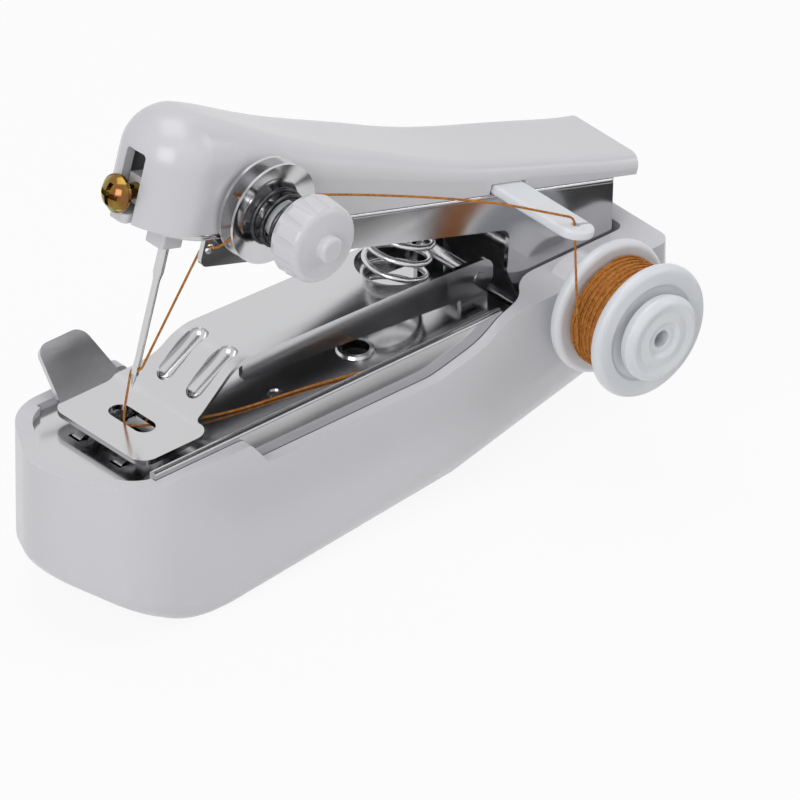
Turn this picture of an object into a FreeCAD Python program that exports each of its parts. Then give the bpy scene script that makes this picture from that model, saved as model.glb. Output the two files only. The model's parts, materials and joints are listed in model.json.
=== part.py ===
"""A hand-held, stapler-type sewing machine: base, pressed arm, presser, feed, looper, tension and bobbin.

Millimetres.  X runs from the nose (-) to the hinge end (+), -Y is the bobbin side, Z is up.
The origin is the middle of the flat sole that the machine stands on.
"""
import FreeCAD, Part
import math
import os
import re

Vector = FreeCAD.Vector

DIMENSIONS = (
    ("base_length", 107.0, "base from nose to hinge end"),
    ("base_width", 30.0, "base across its sides"),
    ("base_wall", 1.9, "moulded wall of the base"),
    ("deck_height", 27.9, "top of the rear deck and of the bed's beads"),
    ("rim_height", 26.7, "top of the nose rim"),
    ("scoop_height", 22.4, "top of the lowered side walls"),
    ("nose_length", 9.2, "slanted length of the nose in plan"),
    ("shoulder_round", 9.0, "plan radius where the sides turn into the nose"),
    ("nose_round", 12.0, "plan radius of the nose tip"),
    ("tail_corner", 2.5, "plan radius of the rear corners"),
    ("front_sole_round", 3.0, "rounding under the nose and the front sides"),
    ("heel_round", 11.0, "rounding under the sides at the heel"),
    ("stern_round", 14.0, "rounding under the sides at the rear end"),
    ("stern_lift", 8.0, "rise of the underside at the rear end"),
    ("heel_x", 14.0, "where the flat sole starts to rise"),
    ("bow_x", -37.0, "where the flat sole starts to rise to the nose"),
    ("bow_lift", 9.2, "rise of the underside at the nose"),
    ("bow_bend", 18.0, "rounding between the flat sole and the rising bow"),
    ("sole_trim", 0.05, "depth ground off the sole to make it one flat"),
    ("nose_joint_x", -30.0, "where the hull starts to change its section"),
    ("notch_x", -26.7, "where the nose rim steps down"),
    ("notch_run", 3.3, "length of that step"),
    ("sweep_start", 9.0, "where the lowered wall starts to rise"),
    ("sweep_end", 23.0, "where it reaches the deck"),
    ("slot_start", 33.0, "where the deck's opening is as narrow as the arm"),
    ("slot_end", 50.5, "rear end of the deck's opening"),
    ("cavity_end", 47.8, "rear end of the hollow under the deck"),
    ("fit_gap", 0.1, "clearance of a part that sits in another"),
    ("run_gap", 0.05, "radial clearance of a turning pin"),
    ("bed_sheet", 1.0, "sheet of the bed's floor"),
    ("bed_top", 25.4, "top of the bed's floor"),
    ("bed_wall", 1.3, "folded side wall and bead of the bed"),
    ("bed_rear", 26.5, "rear end of the bed"),
    ("skirt_bottom", 20.5, "lower edge of the bed's side walls"),
    ("skirt_front", -43.0, "front end of the bed's side walls"),
    ("bed_hole_x", 2.3, "flared hole in the bed's floor"),
    ("bed_hole_y", -4.2, "flared hole in the bed's floor, sideways"),
    ("bed_hole", 2.05, "radius of that hole"),
    ("bed_hole_rim", 2.7, "radius of its raised rim"),
    ("screw_x", -14.0, "bed screws along the base"),
    ("screw_y", 5.4, "bed screws sideways"),
    ("screw_radius", 1.2, "bed screw shank"),
    ("screw_head", 2.2, "bed screw head radius"),
    ("screw_head_depth", 1.6, "bed screw head height"),
    ("screw_boss", 2.9, "radius of the screw bosses"),
    ("pivot_x", 42.0, "arm pivot along the base"),
    ("pivot_drop", 6.9, "arm pivot below the deck"),
    ("pivot_height", "=deck_height - pivot_drop", "arm pivot above the table"),
    ("bracket_drop", 12.4, "underside of the hinge bracket below the pivot"),
    ("pivot_radius", 1.5, "arm pivot pin"),
    ("needle_reach", 78.6, "needle from the pivot"),
    ("arm_rise", 16.3, "slope of the arm at rest, degrees"),
    ("arm_half", 7.55, "half width over the arm's side walls"),
    ("arm_sheet", 0.8, "sheet of the arm's side walls"),
    ("web_low", 16.4, "underside of the arm's top plate over the pivot"),
    ("web_sheet", 1.0, "top plate of the arm with its rolled edge"),
    ("web_half", 8.15, "half width of the arm's top plate"),
    ("web_lead", 6.9, "front end of the arm's top plate ahead of the needle"),
    ("web_reach", "=needle_reach + web_lead", "front end of the arm's top plate from the pivot"),
    ("web_tail", 2.0, "rear end of the arm's top plate from the pivot"),
    ("wall_reach", "=needle_reach - fit_gap", "front end of the arm's side walls from the pivot"),
    ("cover_half", 8.0, "half width of the arm's cover"),
    ("cover_wall", 1.6, "wall of the arm's cover"),
    ("cover_lead", 10.1, "front of the cover ahead of the needle"),
    ("cover_reach", "=needle_reach + cover_lead", "front of the cover from the pivot"),
    ("cover_tail", 6.0, "rear of the cover behind the pivot"),
    ("cover_rear_height", 20.3, "top of the cover over its rear end"),
    ("cover_waist_height", 22.2, "top of the cover over its waist"),
    ("cover_crown_height", 33.9, "top of the cover's nose"),
    ("nose_dome", 7.0, "rounding of the cover's domed nose"),
    ("needle_tip", -10.2, "needle tip above the pivot, arm level"),
    ("needle_radius", 0.55, "needle blade"),
    ("shank_radius", 0.8, "needle shank"),
    ("eye_height", -7.4, "needle eye above the pivot, arm level"),
    ("eye_width", 0.55, "width of the eye"),
    ("holder_half", 3.2, "half width of the needle holder"),
    ("holder_low", 12.5, "underside of the needle holder"),
    ("stub_half", 1.9, "half width of the needle holder's stub"),
    ("stub_front", 2.4, "stub of the needle holder before the needle"),
    ("stub_rear", 1.7, "stub of the needle holder behind the needle"),
    ("lip_half", 1.7, "half width of the needle holder's lip"),
    ("lip_thick", 1.4, "thickness of the needle holder's lip"),
    ("lip_stand", 1.0, "lip of the needle holder before the cover's nose"),
    ("clamp_height", 21.7, "needle clamp screw above the pivot, arm level"),
    ("clamp_radius", 1.2, "needle clamp screw shank"),
    ("clamp_head", 2.85, "needle clamp screw head radius"),
    ("clamp_stand", 1.7, "needle clamp screw head ahead of the cover"),
    ("tension_setback", 8.3, "tension axis behind the needle"),
    ("tension_reach", "=needle_reach - tension_setback", "tension axis from the pivot"),
    ("tension_height", 21.3, "tension axis above the pivot, arm level"),
    ("post_radius", 1.6, "tension post"),
    ("disc_radius", 7.75, "tension discs"),
    ("disc_sheet", 0.45, "sheet of the tension discs"),
    ("disc_seat", 9.6, "thread plane of the tension discs from the middle"),
    ("disc_gap", 0.6, "gap between the tension discs"),
    ("knob_radius", 6.3, "tension knob"),
    ("knob_back", 17.6, "inner face of the tension knob from the middle"),
    ("knob_length", 5.6, "tension knob along its axis"),
    ("flute_radius", 1.1, "flutes of the tension knob"),
    ("flute_depth", 0.55, "depth of the tension knob's flutes"),
    ("tension_wire", 0.8, "tension spring wire"),
    ("tension_coil", 4.4, "tension spring mean radius"),
    ("tension_turns", 3.0, "tension spring turns"),
    ("spring_x", 12.0, "foot of the return spring"),
    ("spring_lean", 14.0, "lean of the return spring, degrees"),
    ("spring_radius", 4.7, "return spring mean radius"),
    ("spring_wire", 0.9, "return spring wire"),
    ("spring_turns", 7.0, "return spring turns"),
    ("spring_headroom", 1.0, "return spring's last turn under the arm, from its middle"),
    ("foot_front", -43.1, "front edge of the presser foot"),
    ("foot_back", -30.4, "rear edge of the presser foot's wide part"),
    ("foot_half", 10.1, "half width of the presser foot"),
    ("foot_top", 28.0, "top of the presser foot"),
    ("plate_half", 6.4, "half width of the presser plate"),
    ("plate_top", 34.6, "top of the presser plate over its bend"),
    ("plate_rear_top", 33.3, "top of the presser plate at its rear end"),
    ("plate_sheet", 0.8, "sheet of the presser plate"),
    ("ramp_foot", -30.6, "foot of the presser's ramp"),
    ("ramp_head", -22.0, "head of the presser's ramp"),
    ("ramp_bend", 7.0, "radius of the bends at both ends of the ramp"),
    ("groove_side", 3.2, "middle of each of the ramp's grooves from the middle"),
    ("groove_radius", 1.6, "radius of the ramp's grooves"),
    ("plate_rear", 14.5, "rear end of the presser's top plate"),
    ("foot_slot_rear", 0.8, "needle slot of the foot, its further width behind the needle"),
    ("foot_slot_half", 3.0, "needle slot, half of its length between centres"),
    ("foot_slot_radius", 1.3, "needle slot end radius"),
    ("needle_hole_x", -36.7, "needle slot along the base"),
    ("spring_hole", 6.0, "cut-out in the presser plate for the return spring, radius"),
    ("lift_tab", 9.0, "length of the presser's lift tab"),
    ("lift_tab_root", 5.8, "half width of the lift tab at the foot"),
    ("lift_tab_end", 4.2, "half width of the lift tab at its end"),
    ("lift_tab_slope", 37.0, "slope of the lift tab, degrees"),
    ("lift_tab_x", -35.6, "middle of the lift tab along the base"),
    ("presser_x", 24.0, "presser pivot along the base"),
    ("presser_height", 29.4, "presser pivot above the table"),
    ("presser_pin", 1.0, "presser pivot pin radius"),
    ("lug_outer", 5.2, "outer face of the bed's presser lugs"),
    ("feed_reach", 9.0, "drive pin below the arm pivot"),
    ("drive_radius", 1.0, "drive pin"),
    ("arm_stroke", 12.0, "travel of the arm, degrees"),
    ("feed_half", 2.0, "half width of the feed bar"),
    ("feed_drop", 0.8, "underside of the feed bar below the drive pin's lowest place"),
    ("feed_low", "=pivot_height - feed_reach - feed_drop", "underside of the feed bar"),
    ("feed_thick", 1.6, "feed bar thickness"),
    ("dog_inner", 3.6, "inner side of the feed teeth"),
    ("dog_outer", 5.4, "outer side of the feed teeth"),
    ("dog_front", -43.0, "front end of the feed teeth"),
    ("dog_top", 26.1, "tips of the feed teeth"),
    ("dog_pitch", 1.5, "pitch of the feed teeth"),
    ("looper_x", -26.0, "looper pivot along the base"),
    ("looper_y", 6.5, "looper pivot sideways"),
    ("looper_low", 19.0, "underside of the looper"),
    ("looper_thick", 1.2, "looper thickness"),
    ("looper_lever", 5.5, "looper pivot to its drive pin"),
    ("looper_blade", 11.6, "looper pivot to the outside of its blade"),
    ("looper_pin_radius", 1.0, "looper pivot pin"),
    ("crank_radius", 0.75, "looper drive pin on the feed bar"),
    ("spool_x", 38.3, "bobbin axis along the base"),
    ("spool_height", 24.4, "bobbin axis above the table"),
    ("spindle_radius", 2.35, "bobbin spindle"),
    ("spindle_head", 6.75, "bobbin spindle head radius"),
    ("flange_radius", 10.4, "bobbin flange"),
    ("flange_thick", 2.1, "bobbin flange thickness"),
    ("bobbin_inner", 16.9, "inner face of the bobbin from the middle"),
    ("bobbin_length", 10.8, "bobbin over both flanges"),
    ("bobbin_core", 4.4, "bobbin core radius"),
    ("winding_radius", 8.0, "plain core of the wound thread"),
    ("wound_thread", 0.5, "outer turns of the wound thread, diameter"),
    ("wound_pitch", 0.94, "pitch of those turns"),
    ("wound_turns", 6.0, "number of those turns"),
    ("thread", 0.36, "sewing thread diameter"),
    ("guide_reach", 20.0, "thread guide from the pivot"),
    ("guide_half", 3.0, "half width of the thread guide"),
    ("guide_tip", 25.2, "tip of the thread guide from the middle"),
    ("guide_thick", 1.5, "thread guide thickness"),
    ("guide_hole", 0.7, "thread hole in the guide, radius"),
)

doc = FreeCAD.newDocument("stapler_sewing_machine")
sheet = doc.addObject("Spreadsheet::Sheet", "sizes")
for row, (alias, value, meaning) in enumerate(DIMENSIONS, start=1):
    sheet.set("A%d" % row, meaning)
    sheet.set("B%d" % row, str(value))
    sheet.setAlias("B%d" % row, alias)
doc.recompute()


class Size:
    """The sheet's values by name."""


for alias, value, meaning in DIMENSIONS:
    setattr(Size, alias, float(sheet.get(alias)))

half_length = Size.base_length / 2
half_width = Size.base_width / 2
opening_half = half_width - Size.base_wall
bed_half = opening_half - Size.fit_gap
arm_inner = Size.arm_half - Size.arm_sheet
web_top = Size.web_low + Size.web_sheet
slot_half = Size.arm_half + 3.5 * Size.fit_gap
cheek_inner = Size.arm_half + 3 * Size.fit_gap
cheek_outer = cheek_inner + 1.2
spindle_bore = Size.spindle_radius + Size.run_gap
feed_stroke = 2 * Size.feed_reach * math.sin(math.radians(Size.arm_stroke / 2))
looper_turn = feed_stroke / Size.looper_lever
drive_x = Size.pivot_x - feed_stroke / 2
drive_z = Size.pivot_height - Size.feed_reach * math.cos(math.radians(Size.arm_stroke / 2))
crank_x = Size.looper_x - feed_stroke / 2
crank_y = Size.looper_y - Size.looper_lever

pivot = Vector(Size.pivot_x, 0, Size.pivot_height)
arm_turn = FreeCAD.Rotation(Vector(0, 1, 0), Size.arm_rise)
arm_place = FreeCAD.Placement(pivot, arm_turn)
AXIS = {
    "x": (Vector(1, 0, 0), FreeCAD.Rotation(Vector(0, 1, 0), 90)),
    "y": (Vector(0, 1, 0), FreeCAD.Rotation(Vector(1, 0, 0), -90)),
    "z": (Vector(0, 0, 1), FreeCAD.Rotation()),
}
parts = []


def bind(item, prop, text):
    """Tie a property to the sheet by an expression written with the sheet's own words."""
    item.setExpression(prop, re.sub(r"\b([a-z][a-z_]+)\b", r"sizes.\1", text))


def corner_path(points):
    """Segments of a closed outline whose corners (x, y, radius) are rounded by tangent arcs."""
    count = len(points)
    ends = []
    for index, point in enumerate(points):
        here = Vector(point[0], point[1], 0)
        radius = point[2] if len(point) > 2 else 0
        before = Vector(*points[index - 1][:2], 0) - here
        after = Vector(*points[(index + 1) % count][:2], 0) - here
        if radius == 0:
            ends.append((here, None, here))
            continue
        before.normalize()
        after.normalize()
        half = before.getAngle(after) / 2
        reach = radius / math.tan(half)
        bisector = (before + after).normalize()
        middle = here + bisector * (radius / math.sin(half) - radius)
        ends.append((here + before * reach, middle, here + after * reach))
    segments = []
    for index, (enter, middle, leave) in enumerate(ends):
        if middle is not None:
            segments.append(Part.Arc(enter, middle, leave))
        following = ends[(index + 1) % count][0]
        if leave.distanceToPoint(following) > 1e-6:
            segments.append(Part.LineSegment(leave, following))
    return segments


def outline_face(points):
    """A flat face in XY inside a rounded outline."""
    return Part.Face(Part.Wire([segment.toShape() for segment in corner_path(points)]))


def prism_up(points, low, high):
    """A plan outline raised from one height to another."""
    solid = outline_face(points).extrude(Vector(0, 0, high - low))
    solid.translate(Vector(0, 0, low))
    return solid


def prism_across(points, low, high):
    """A side outline of (x, z) points, carried from one y to another."""
    solid = outline_face(points).extrude(Vector(0, 0, low - high))
    solid.rotate(Vector(0, 0, 0), Vector(1, 0, 0), 90)
    solid.translate(Vector(0, low, 0))
    return solid


def brick(x, y, z):
    """A plain block between three pairs of bounds."""
    return Part.makeBox(x[1] - x[0], y[1] - y[0], z[1] - z[0], Vector(x[0], y[0], z[0]))


def drum(axis, start, radius, length):
    """A plain cylinder from a point, along an axis."""
    return Part.makeCylinder(radius, length, start, AXIS[axis][0])


def register(item, label, place=None):
    """Give a finished sub-part its name and its place."""
    item.Label = label
    if place is not None:
        item.Placement = place
    parts.append(item)
    return item


def shaped(label, shape, place=None):
    """A sub-part whose form is worked out in code."""
    item = doc.addObject("Part::Feature", label)
    item.Shape = shape
    return register(item, label, place)


def rod(name, axis, start, radius, length):
    """A cylinder whose radius, length and, where given, start are expressions on the sheet."""
    item = doc.addObject("Part::Cylinder", name)
    item.Placement = FreeCAD.Placement(Vector(), AXIS[axis][1])
    for letter, text in zip("xyz", start):
        bind(item, "Placement.Base." + letter, text)
    bind(item, "Radius", radius)
    bind(item, "Height", length)
    return item


def lathe(label, profile, place):
    """A turned body: an outline of (radius, height) points with rounded corners, spun about its axis."""
    body = doc.addObject("PartDesign::Body", label)
    sketch = body.newObject("Sketcher::SketchObject", label + "_profile")
    plane = [item for item in body.Origin.OriginFeatures if item.Role == "XZ_Plane"][0]
    sketch.AttachmentSupport = [(plane, "")]
    sketch.MapMode = "FlatFace"
    sketch.addGeometry(corner_path(profile), False)
    turned = body.newObject("PartDesign::Revolution", label + "_turned")
    turned.Profile = sketch
    turned.ReferenceAxis = (sketch, ["V_Axis"])
    turned.Angle = 360
    return register(body, label, place)


def facing_right(x, y, z):
    """The place of a turned body whose height runs along -Y from a point."""
    return FreeCAD.Placement(Vector(x, y, z), FreeCAD.Rotation(Vector(1, 0, 0), 90))


def on_arm(x, y, z, turn=None):
    """The place of a body that stands on the arm, given in the level arm's frame."""
    return arm_place.multiply(FreeCAD.Placement(Vector(x, y, z), turn or FreeCAD.Rotation()))


def nose_outline(inset, rear):
    """Plan of the base's front from the rear bound to the rounded nose, drawn in by an inset."""
    slant = math.hypot(Size.nose_length, half_width)
    across = half_width / slant
    along = Size.nose_length / slant
    tip_gain = Size.nose_round / math.cos(math.atan2(along, across)) - Size.nose_round
    tip = -half_length - tip_gain + inset / across
    shoulder = -half_length - tip_gain + Size.nose_length + inset * (1 - along) / across
    side = half_width - inset
    return [
        (rear, -side),
        (rear, side),
        (shoulder, side, Size.shoulder_round - inset),
        (tip, 0, Size.nose_round - inset),
        (shoulder, -side, Size.shoulder_round - inset),
    ]


def hull_section(x, inset, edge_round, lift, top):
    """One cross-section of the base behind its nose."""
    side = half_width - inset
    radius = edge_round - inset
    low = lift + inset
    bend = radius * math.sqrt(0.5)
    centre = Vector(x, side - radius, low + radius)
    left = [
        Vector(x, side, top),
        Vector(x, side, low + radius),
        centre + Vector(0, bend, -bend),
        Vector(x, side - radius, low),
    ]
    right = [Vector(x, -point.y, point.z) for point in left]
    edges = [
        Part.LineSegment(left[0], left[1]),
        Part.Arc(left[1], left[2], left[3]),
        Part.LineSegment(left[3], right[3]),
        Part.Arc(right[3], right[2], right[1]),
        Part.LineSegment(right[1], right[0]),
        Part.LineSegment(right[0], left[0]),
    ]
    return Part.Wire([edge.toShape() for edge in edges])


def stern_rise(x):
    """How far the underside has risen at a place behind the heel."""
    return Size.stern_lift * (x - Size.heel_x) / (half_length - Size.heel_x)


def hull(inset, rear, top):
    """The base behind its nose: its lower edges grow rounder to the rear, where its underside rises."""
    stations = (
        (Size.nose_joint_x, Size.front_sole_round, 0.0),
        (Size.heel_x, Size.heel_round, 0.0),
        (rear, Size.stern_round, stern_rise(rear)),
    )
    wires = [hull_section(x, inset, edge, lift, top) for x, edge, lift in stations]
    return Part.makeLoft(wires, True, True)


def opening_outline(half):
    """Plan of the base's upper opening: the bed's trough, then a curve in to the arm's slot."""
    half_run = (Size.slot_start - Size.sweep_end) / 2
    step = half - slot_half
    turn = 2 * math.atan2(step / 2, half_run)
    radius = half_run / math.sin(turn)
    knee = radius * math.tan(turn / 2)
    return [
        (Size.sweep_end + knee, half, radius),
        (Size.slot_start - knee, slot_half, radius),
        (Size.slot_end, slot_half, 1.5),
        (Size.slot_end, -slot_half, 1.5),
        (Size.slot_start - knee, -slot_half, radius),
        (Size.sweep_end + knee, -half, radius),
        (Size.skirt_front - Size.fit_gap, -half),
        (Size.skirt_front - Size.fit_gap, half),
    ]


def above_bow(inset):
    """All that lies over the underside's flat sole and rising bow, drawn in by an inset."""
    slope = math.atan2(Size.bow_lift, Size.bow_x + half_length)
    bend_x = Size.bow_x + inset * math.tan(slope / 2)
    far = 2 * half_length
    return prism_across(
        [
            (-far, inset + (bend_x + far) * math.tan(slope)),
            (bend_x, inset, Size.bow_bend - inset),
            (far, inset),
            (far, 3 * Size.deck_height),
            (-far, 3 * Size.deck_height),
        ],
        -half_width - 1,
        half_width + 1,
    )


def looks_down(face):
    """Whether a face is part of the underside."""
    u_low, u_high, v_low, v_high = face.ParameterRange
    return face.normalAt((u_low + u_high) / 2, (v_low + v_high) / 2).z < -0.3


def under_edges(solid):
    """The edges around a block's underside, without those at the joint with the hull."""
    unders = [face for face in solid.Faces if looks_down(face)]
    hashes = [edge.hashCode() for face in unders for edge in face.Edges]
    return [
        edge
        for face in unders
        for edge in face.Edges
        if hashes.count(edge.hashCode()) == 1 and edge.BoundBox.XMin < Size.nose_joint_x - 1e-3
    ]


def base_outside():
    """The base as a full block: nose, hull, rear end and the stepped upper edge."""
    over = Size.deck_height + 4
    nose = prism_up(nose_outline(0, Size.nose_joint_x), -1, over).common(above_bow(0))
    nose = nose.makeFillet(Size.front_sole_round, under_edges(nose))
    block_all = nose.fuse(hull(0, half_length, over)).removeSplitter()
    block_all.translate(Vector(0, 0, -Size.sole_trim))
    rear_plan = prism_up(
        [
            (-2 * half_length, -half_width),
            (half_length, -half_width, Size.tail_corner),
            (half_length, half_width, Size.tail_corner),
            (-2 * half_length, half_width),
        ],
        -1,
        over,
    )
    notch_end = Size.notch_x + Size.notch_run
    sweep_mid = (Size.sweep_start + Size.sweep_end) / 2
    side = prism_across(
        [
            (-2 * half_length, 0),
            (-2 * half_length, Size.rim_height),
            (Size.notch_x, Size.rim_height, 1.5),
            (notch_end, Size.scoop_height, 1.5),
            (Size.sweep_start, Size.scoop_height, 12),
            (sweep_mid + 2, (Size.scoop_height + Size.deck_height) / 2 - 0.6, 14),
            (Size.sweep_end, Size.deck_height, 8),
            (half_length, Size.deck_height),
            (half_length - 0.8, Size.deck_height / 2, 24),
            (half_length - 6.5, 0),
        ],
        -half_width - 1,
        half_width + 1,
    )
    return block_all.common(rear_plan).common(side)


def base_housing():
    """The moulded base: a tub with a nose, lowered side walls and a rear deck."""
    outside = base_outside()
    front = prism_up(nose_outline(Size.base_wall + 0.6, Size.nose_joint_x + 0.01), 0, 60)
    front = front.common(above_bow(Size.base_wall))
    hollow = hull(Size.base_wall, Size.cavity_end, Size.deck_height - Size.base_wall)
    opening = prism_up(opening_outline(opening_half), Size.skirt_bottom, 60)
    shell = outside.cut(front).cut(hollow).cut(opening)
    ledge_x = (Size.skirt_front, Size.sweep_end)
    ledges = [
        brick(ledge_x, sorted((sign * (bed_half - 1.6 * Size.bed_wall), sign * (half_width - 0.6))),
              (Size.skirt_bottom - 3, Size.skirt_bottom))
        for sign in (-1, 1)
    ]
    bed_under = Size.bed_top - Size.bed_sheet
    bosses = [
        drum("z", Vector(Size.screw_x, sign * Size.screw_y, 0.8), Size.screw_boss, bed_under - 0.8)
        for sign in (-1, 1)
    ]
    feed_top = Size.feed_low + Size.feed_thick
    guides = [
        brick((x, x + 2), (-opening_half + 4, opening_half - 4), (1.0, feed_top + 2)) for x in (-20.0, 20.0)
    ]
    window = brick(
        (-30, 30),
        (-Size.feed_half - Size.fit_gap, Size.feed_half + Size.fit_gap),
        (Size.feed_low - Size.fit_gap, feed_top + Size.fit_gap),
    )
    pad_x = Size.pivot_x - 6
    pad = brick((pad_x, pad_x + 4), (-6, 6), (stern_rise(pad_x) + Size.base_wall / 2, bracket_low))
    spool_boss = drum("y", Vector(Size.spool_x, -half_width - 1.5, Size.spool_height), 5.2, 6.4)
    ribs = [rib.common(outside) for rib in ledges + bosses + guides + [pad]]
    shell = shell.fuse(ribs + [spool_boss])
    spool_bore = drum("y", Vector(Size.spool_x, -half_width - 9, Size.spool_height), spindle_bore, 20)
    screw_ways = [
        drum("z", Vector(Size.screw_x, sign * Size.screw_y, -1), Size.screw_radius + 0.15, 40)
        for sign in (-1, 1)
    ]
    head_ways = [
        drum("z", Vector(Size.screw_x, sign * Size.screw_y, -1), Size.screw_head + 0.2,
             1 + 0.6 + Size.screw_head_depth)
        for sign in (-1, 1)
    ]
    shell = shell.cut([window, spool_bore] + screw_ways + head_ways)
    return shell.removeSplitter()


bracket_low = Size.pivot_height - Size.bracket_drop
base = base_housing()
shaped("base_housing", base)
print("base solids", len(base.Solids), "volume", round(base.Volume), "valid", base.isValid())


def bed_tray():
    """The plated bed: nose-shaped floor, folded side walls, one with a bead, and the presser's two lugs."""
    under = Size.bed_top - Size.bed_sheet
    inset = Size.base_wall + 0.6 + Size.fit_gap
    floor = prism_up(nose_outline(inset, Size.nose_joint_x), under, Size.bed_top)
    rear_floor = brick((Size.nose_joint_x, Size.bed_rear), (-bed_half, bed_half), (under, Size.bed_top))
    floor = floor.fuse(rear_floor)
    bead = Size.bed_wall / 2
    wall_end = Size.sweep_end - 4 * Size.fit_gap
    pieces = []
    for sign in (-1, 1):
        low, high = sorted((sign * bed_half, sign * (bed_half - Size.bed_wall)))
        wall_top = Size.deck_height - bead if sign < 0 else Size.bed_top
        pieces.append(brick((Size.skirt_front, wall_end), (low, high), (Size.skirt_bottom, wall_top)))
        if sign < 0:
            axis_start = Vector(Size.skirt_front, sign * (bed_half - bead), wall_top)
            pieces.append(drum("x", axis_start, bead, wall_end - Size.skirt_front))
        lug = prism_across(
            [
                (Size.presser_x - 2.5, under),
                (Size.bed_rear, under),
                (Size.bed_rear, Size.presser_height + 2, 2.0),
                (Size.presser_x - 2.5, Size.presser_height + 2, 2.0),
            ],
            *sorted((sign * Size.lug_outer, sign * (Size.lug_outer - Size.plate_sheet)))
        )
        pieces.append(lug)
    rim_low = Vector(Size.bed_hole_x, Size.bed_hole_y, under)
    pieces.append(Part.makeCone(Size.bed_hole_rim + 0.8, Size.bed_hole_rim, Size.bed_sheet + 0.4, rim_low))
    tray = floor.fuse(pieces)
    slot_long = (Size.dog_front - 0.5, Size.dog_front + dog_length + feed_stroke + 0.5)
    holes = [
        drum("z", Vector(Size.bed_hole_x, Size.bed_hole_y, under - 1), Size.bed_hole, 4),
        brick(
            (Size.needle_hole_x - 1.9, Size.needle_hole_x + 1.9), (-2.2, 2.2), (under - 1, Size.bed_top + 1)
        ),
        drum("z", Vector(Size.looper_x, Size.looper_y, under - 1), Size.looper_pin_radius + 0.02, 3),
        drum("y", Vector(Size.presser_x, -9, Size.presser_height), Size.presser_pin + 0.02, 18),
    ]
    for sign in (-1, 1):
        across = sorted((sign * (Size.dog_inner - 0.3), sign * (Size.dog_outer + 0.3)))
        holes.append(brick(slot_long, across, (under - 1, Size.bed_top + 1)))
        screw_foot = Vector(Size.screw_x, sign * Size.screw_y, under - 1)
        holes.append(drum("z", screw_foot, Size.screw_radius + 0.02, 3))
    return tray.cut(holes).removeSplitter()


dog_length = 13.0
shaped("bed_tray", bed_tray())


def bed_screws():
    """Two countersunk screws that hold the bed from below."""
    screws = []
    for sign in (-1, 1):
        head = Vector(Size.screw_x, sign * Size.screw_y, 0.5)
        top = Size.bed_top - 0.2
        screw = drum("z", head, Size.screw_head, Size.screw_head_depth)
        screw = screw.fuse(drum("z", head, Size.screw_radius, top - head.z))
        for size in ((0.7, 3.0), (3.0, 0.7)):
            cross = brick((-size[0] / 2, size[0] / 2), (-size[1] / 2, size[1] / 2), (-0.1, 0.9))
            cross.translate(head)
            screw = screw.cut(cross)
        screws.append(screw)
    return Part.makeCompound(screws)


shaped("bed_screws", bed_screws())


def hinge_bracket():
    """The steel cradle under the deck that carries the arm's pivot pin."""
    x_low, x_high = Size.pivot_x - 6, Size.pivot_x + 5
    outline = [
        (x_low, bracket_low),
        (x_high, bracket_low),
        (x_high, Size.pivot_height + 1, 3.0),
        (Size.pivot_x + 1, Size.pivot_height + 4, 2.0),
        (Size.pivot_x - 4, Size.pivot_height + 4, 2.0),
    ]
    cheeks = [
        prism_across(outline, *sorted((sign * cheek_inner, sign * cheek_outer))) for sign in (-1, 1)
    ]
    floor = brick((x_low, x_high), (-cheek_outer, cheek_outer), (bracket_low, bracket_low + 1.2))
    pin_way = drum("y", Vector(Size.pivot_x, -20, Size.pivot_height), Size.pivot_radius + 0.02, 40)
    room = hull(Size.base_wall + Size.fit_gap, Size.cavity_end, Size.deck_height)
    return floor.fuse(cheeks).common(room).cut(pin_way).removeSplitter()


shaped("hinge_bracket", hinge_bracket())

pin_reach = cheek_outer + 1.0
pivot_pin = rod("arm_pivot_pin", "y", ("pivot_x", "0", "pivot_height"), "pivot_radius", "2 * %s" % pin_reach)
bind(pivot_pin, "Placement.Base.y", "0 - %s" % pin_reach)
register(pivot_pin, "arm_pivot_pin")

clips = []
for side in (-1, 1):
    ring_low = min(side * (cheek_outer + 0.05), side * (cheek_outer + 0.65))
    ring_start = Vector(Size.pivot_x, ring_low, Size.pivot_height)
    ring = drum("y", ring_start, Size.pivot_radius + 1.4, 0.6)
    ring = ring.cut(drum("y", ring_start, Size.pivot_radius, 0.6))
    mouth = brick((-0.9, 0.9), (-1, 2), (-4, 0))
    mouth.translate(ring_start)
    clips.append(ring.cut(mouth))
shaped("pivot_clips", Part.makeCompound(clips))

presser_reach = Size.plate_half + 0.1
presser_axle = rod(
    "presser_pin", "y", ("presser_x", "0", "presser_height"), "presser_pin", "2 * %s" % presser_reach
)
bind(presser_axle, "Placement.Base.y", "0 - %s" % presser_reach)
register(presser_axle, "presser_pin")

pin_wide = Size.looper_pin_radius + 0.8
looper_low_end = Size.looper_low - 1.0
lathe(
    "looper_pin",
    [
        (0, 0),
        (pin_wide, 0, 0.2),
        (pin_wide, 0.95),
        (Size.looper_pin_radius, 0.95),
        (Size.looper_pin_radius, Size.looper_thick + 1.05),
        (pin_wide, Size.looper_thick + 1.05),
        (pin_wide, Size.bed_top - Size.bed_sheet - looper_low_end),
        (Size.looper_pin_radius, Size.bed_top - Size.bed_sheet - looper_low_end),
        (Size.looper_pin_radius, Size.bed_top - looper_low_end),
        (0, Size.bed_top - looper_low_end),
    ],
    FreeCAD.Placement(Vector(Size.looper_x, Size.looper_y, looper_low_end), FreeCAD.Rotation()),
)


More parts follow.
